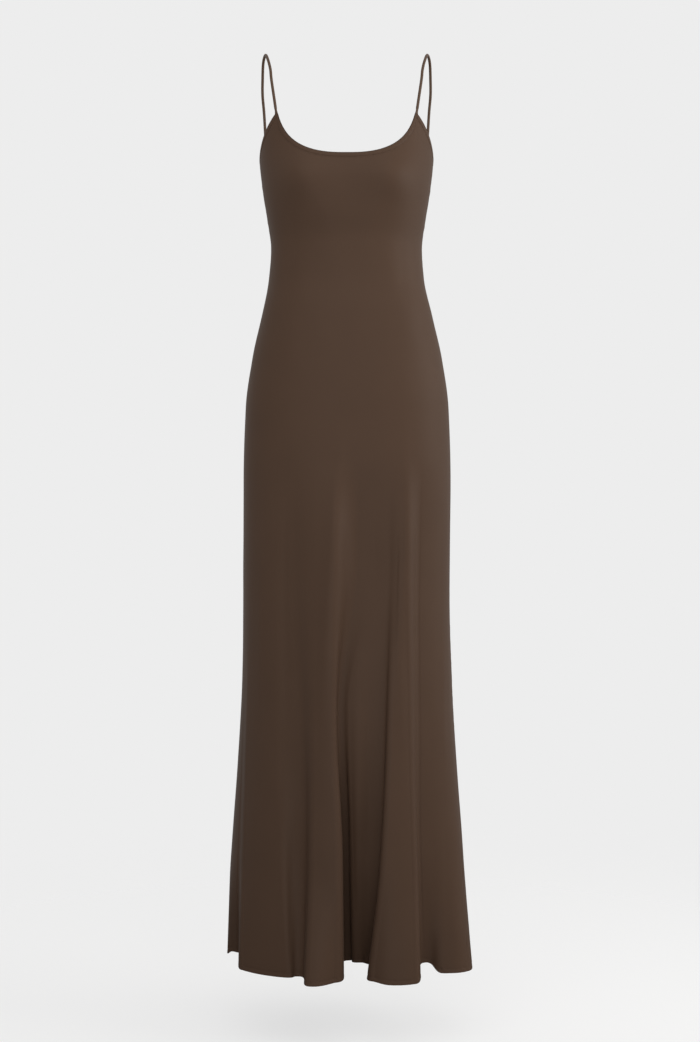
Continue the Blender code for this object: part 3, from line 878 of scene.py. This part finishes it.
# how the satin is woven, the same in every piece
weave = {
    "bias": 0.7071,  # the threads cross the cut at 45 degrees
    "slant": 0.34,  # of the twill line
    "weftShow": 0.2,
    "slubDetail": 3.0,
    "slubRough": 0.6,
    "cloudDetail": 2.0,
    "tone": (0.45, 0.45, 0.10),  # of slub, cloud and twill
    "relief": (0.6, 0.8),  # of twill and slub
    "density": 1.45,
}


def shade(colour, factor):
    return tuple(channel * factor for channel in colour) + (1.0,)


def newFinish(name):
    material = bpy.data.materials.new(name)
    material.use_nodes = True
    return material, material.node_tree, material.node_tree.nodes["Principled BSDF"]


def satin(name, look):
    material, tree, shader = newFinish(name)
    start = Wire(tree)
    place = start.node("ShaderNodeUVMap", {"uv_map": "cut"})
    across = start.node("ShaderNodeSeparateXYZ", {}, {0: place})
    up = Wire(tree, across.socket.node.outputs["Y"])
    warp, weft = (across + up) * weave["bias"], (up - across) * weave["bias"]
    turn = 2 * math.pi / look["thread"]
    line = (warp * turn + weft * (turn * weave["slant"])).sine() * 0.5 + 0.5
    twill = line * ((weft * turn).sine() * weave["weftShow"] + (1 - weave["weftShow"]))
    drawn = start.node(
        "ShaderNodeCombineXYZ", {}, {0: warp * look["slubAlong"], 1: weft * look["slubAcross"]}
    )
    slub = start.node(
        "ShaderNodeTexNoise",
        {},
        {
            "Vector": drawn,
            "Scale": 1.0,
            "Detail": weave["slubDetail"],
            "Roughness": weave["slubRough"],
        },
    )
    room = start.node("ShaderNodeTexCoord", {}, {}, "Object")
    cloud = start.node(
        "ShaderNodeTexNoise",
        {},
        {"Vector": room, "Scale": look["cloudScale"], "Detail": weave["cloudDetail"]},
    )
    bySlub, byCloud, byTwill = weave["tone"]
    tone = slub * bySlub + cloud * byCloud + twill * byTwill
    dark, light = (shade(look["colour"], 1 + way * look["vary"]) for way in (-1, 1))
    tone.mix(dark, light).feed(shader.inputs["Base Color"])
    rough = slub * look["roughVary"] + (look["rough"] - 0.5 * look["roughVary"])
    rough.feed(shader.inputs["Roughness"])
    twillRise, slubRise = weave["relief"]
    height = twill * twillRise + slub * slubRise
    cloth = start.node(
        "ShaderNodeBump",
        {},
        {"Strength": look["bump"], "Distance": look["depth"], "Height": height},
    )
    cloth.feed(shader.inputs["Normal"])
    shader.inputs["Sheen Weight"].default_value = look["sheen"]
    shader.inputs["Sheen Roughness"].default_value = look["sheenRough"]
    shader.inputs["Sheen Tint"].default_value = look["sheenTint"]
    shader.inputs["Specular IOR Level"].default_value = look["gloss"]
    shader.inputs["IOR"].default_value = weave["density"]
    return material


satinCloth, satinRollShade = satin("satinCloth", satinLook), satin("satinRollShade", rollShadeLook)
satinStrapLit, sewingThread = satin("satinStrapLit", strapLitLook), satin("sewingThread", threadLook)
dressed = [
    ((frontPanel, backPanel), (satinCloth,)),
    (bindings, (satinCloth, satinRollShade)),
    ((strapLeft, strapRight), (satinStrapLit,)),
    (stitches, (sewingThread,)),
]
for pieces, finishes in dressed:
    for piece in pieces:
        for finish in finishes:
            piece.data.materials.append(finish)
print("finishes made")

stands = [
    (frontPanel, "front_panel", "satin"),
    (backPanel, "back_panel", "satin"),
    (neckBindingFront, "neck_binding_front", "satin_trim"),
    (neckBindingBack, "neck_binding_back", "satin_trim"),
    (armholeBindingLeft, "armhole_binding_left", "satin_trim"),
    (armholeBindingRight, "armhole_binding_right", "satin_trim"),
    (strapLeft, "strap_left", "satin_trim"),
    (strapRight, "strap_right", "satin_trim"),
    (frontStitches, None, "satin"),
    (backStitches, None, "satin"),
]
for piece, node, slot in stands:
    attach(piece, "root")
    if node:
        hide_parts(node)

print("pieces placed")

studio = {
    "floorHeight": -1.555,
    "floorRadius": 2.0,
    "floorSides": 96,
    "floorTone": 0.30,
    "floorGloss": 0.1,
    "floorGlow": 0.625,
    "floorClear": (0.40, 1.8),  # where it begins to fade into the backdrop, and where it is gone
    "rough": 0.9,
    "bounceTone": 0.04,  # how pale the floor is to the cloth above it
    "bounceReach": 1.1,
    "bounceSides": 64,
    "bounceDown": 0.002,  # under the floor
    "backdrop": 0.847,  # what stands behind the dress
    "air": (0.59, 0.50),  # soft light from before the dress and from behind it
    "lights": [  # name, place, what it points at, size, power, colour
        ("frontLight", (0.0, -2.757, -0.134), (0.0, 0.0, -0.62), 2.2, 2.6, (1.0, 0.985, 0.96)),
        ("lowLight", (0.05, -2.300, -1.350), (0.0, 0.0, -1.35), 0.8, 6.0, (1.0, 0.985, 0.96)),
        ("highLight", (0.0, -1.350, 0.750), (0.0, 0.0, -0.62), 2.2, 12.4, (1.0, 0.985, 0.96)),
        ("sideLight", (2.664, -0.714, 0.250), (0.0, 0.0, -0.62), 2.2, 36.0, (1.0, 0.98, 0.95)),
        ("rimLight", (2.789, 0.500, -0.100), (0.0, 0.0, -0.62), 2.2, 11.0, (1.0, 0.97, 0.93)),
    ],
}
white = (1.0, 1.0, 1.0, 1.0)


def newDisc(name, sides, radius, height):
    bpy.ops.mesh.primitive_circle_add(
        vertices=sides, radius=radius, fill_type="TRIFAN", location=(0, 0, height)
    )
    disc = bpy.context.object
    disc.name = name
    return disc


def matt(name, tone):
    material, tree, shader = newFinish(name)
    shader.inputs["Base Color"].default_value = (tone, tone, tone, 1.0)
    shader.inputs["Roughness"].default_value = studio["rough"]
    return material, tree, shader


def makeFloor():
    sides, radius = studio["floorSides"], studio["floorRadius"]
    floor = newDisc("studioFloor", sides, radius, studio["floorHeight"])
    material, tree, shader = matt("paleFloor", studio["floorTone"])
    shader.inputs["Specular IOR Level"].default_value = studio["floorGloss"]
    shader.inputs["Emission Color"].default_value = white
    shader.inputs["Emission Strength"].default_value = studio["floorGlow"]
    start = Wire(tree)
    place = start.node("ShaderNodeTexCoord", {}, {}, "Object")
    reach = start.node("ShaderNodeVectorMath", {"operation": "LENGTH"}, {0: place}, "Value")
    near, far = studio["floorClear"]
    fade = start.node(
        "ShaderNodeMapRange",
        {"interpolation_type": "SMOOTHSTEP"},
        {"Value": reach, "From Min": near, "From Max": far},
    )
    clear = start.node("ShaderNodeBsdfTransparent")
    solid = Wire(tree, shader.outputs[0])
    mixed = start.node("ShaderNodeMixShader", {}, {0: fade, 1: solid, 2: clear})
    mixed.feed(tree.nodes["Material Output"].inputs["Surface"])
    floor.data.materials.append(material)
    floor.visible_diffuse = floor.visible_glossy = floor.visible_shadow = False


def makeBounce():  # what the cloth sees of the floor under it
    height = studio["floorHeight"] - studio["bounceDown"]
    card = newDisc("floorBounce", studio["bounceSides"], studio["bounceReach"], height)
    card.data.materials.append(matt("dimFloor", studio["bounceTone"])[0])
    card.visible_camera = card.visible_shadow = False


def makeAir():
    world = bpy.data.worlds.new("studioAir")
    world.use_nodes = True
    tree = world.node_tree
    start = Wire(tree)
    backdrop = start.node(
        "ShaderNodeBackground", {}, {"Strength": studio["backdrop"], "Color": white}
    )
    place = start.node("ShaderNodeTexCoord", {}, {}, "Object")
    way = start.node("ShaderNodeSeparateXYZ", {}, {0: place}, "Y")  # -1 before the dress, 1 behind
    before, after = studio["air"]
    strength = way * ((after - before) / 2) + (before + after) / 2
    around = start.node("ShaderNodeBackground", {}, {"Strength": strength, "Color": white})
    seen = start.node("ShaderNodeLightPath")
    both = start.node("ShaderNodeMixShader", {}, {0: seen, 1: around, 2: backdrop})
    both.feed(tree.nodes["World Output"].inputs["Surface"])
    bpy.context.scene.world = world


def makeLight(name, place, aim, size, power, colour):
    light = bpy.data.lights.new(name, "AREA")
    light.shape, light.size, light.energy, light.color = "DISK", size, power, colour
    lamp = bpy.data.objects.new(name, light)
    lamp.location = place
    lamp.visible_camera = False
    lamp.rotation_euler = (Vector(aim) - Vector(place)).to_track_quat("-Z", "Y").to_euler()
    bpy.context.scene.collection.objects.link(lamp)


camera = {
    "distance": 2.6,
    "across": 0.0056,
    "height": -0.743,
    "sensor": 36,
    "pixel": 0.0016,  # metres to a pixel at the side seams
    "tall": 1042,  # pixels from the top of the frame to its foot
}


def makeCamera():
    lens = bpy.data.cameras.new("studioCamera")
    lens.sensor_width = camera["sensor"]
    lens.lens = camera["sensor"] * camera["distance"] / (camera["tall"] * camera["pixel"])
    stand = bpy.data.objects.new("studioCamera", lens)
    stand.location = (camera["across"], -camera["distance"], camera["height"])
    stand.rotation_euler = (math.radians(90), 0, 0)
    bpy.context.scene.collection.objects.link(stand)
    bpy.context.scene.camera = stand


makeCamera()
makeFloor()
makeBounce()
makeAir()
for light in studio["lights"]:
    makeLight(*light)
bpy.context.scene.view_settings.view_transform = "Standard"
print("studio made")
